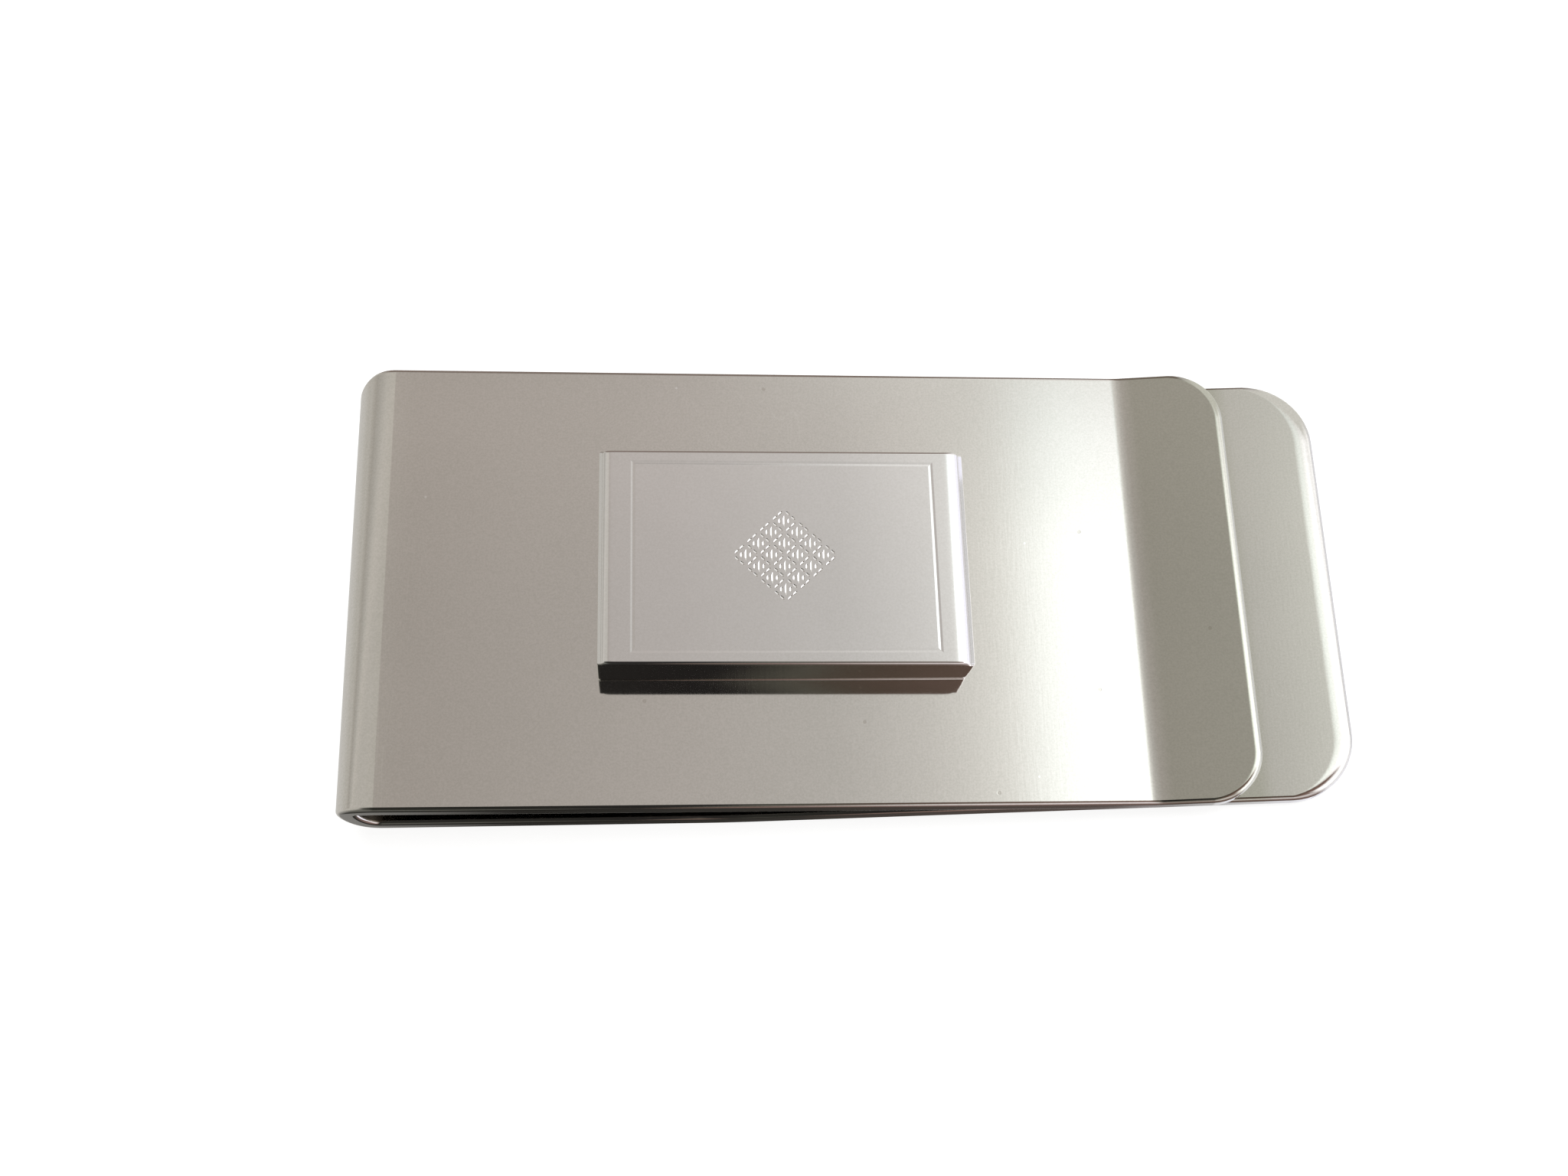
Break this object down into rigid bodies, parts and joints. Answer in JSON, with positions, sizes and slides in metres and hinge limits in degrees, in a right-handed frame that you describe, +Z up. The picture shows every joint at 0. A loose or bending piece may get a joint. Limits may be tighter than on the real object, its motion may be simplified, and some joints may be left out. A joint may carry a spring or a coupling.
{
  "type": "money clip",
  "caption": "Folded spring-metal money clip with a straight front leaf, flared lip, longer back leaf and an engraved rectangular emblem plate.",
  "frame": {"origin": "bottom centre of the closed clip's bounding box, on the surface that the back leaf lies on", "axes": "+X along the clip from the fold to the lip, +Y across the strip's width, +Z up, out of the emblem side"},
  "size_m": [0.055, 0.0254, 0.008],
  "materials": {
    "spring_strip": "mirror polished, fine handling scratches",
    "emblem_metal": "mirror polished, bright-cut engraving",
    "adhesive": "thin cured bond line"
  },
  "bodies": {
    "back": {"back_leaf": "spring_strip", "spring_fold": "spring_strip"},
    "front": {"front_leaf": "spring_strip", "adhesive_film": "adhesive", "emblem_plate": "emblem_metal"}
  },
  "joints": [
    {"name": "leaf_flex", "type": "hinge", "parent": "back", "child": "front", "pos_m": [-0.0253, 0, 0.00405], "axis": [0, -1, 0], "range_deg": [0, 6], "stiffness_Nm_per_rad": 10, "deforming": ["spring_fold"]}
  ]
}
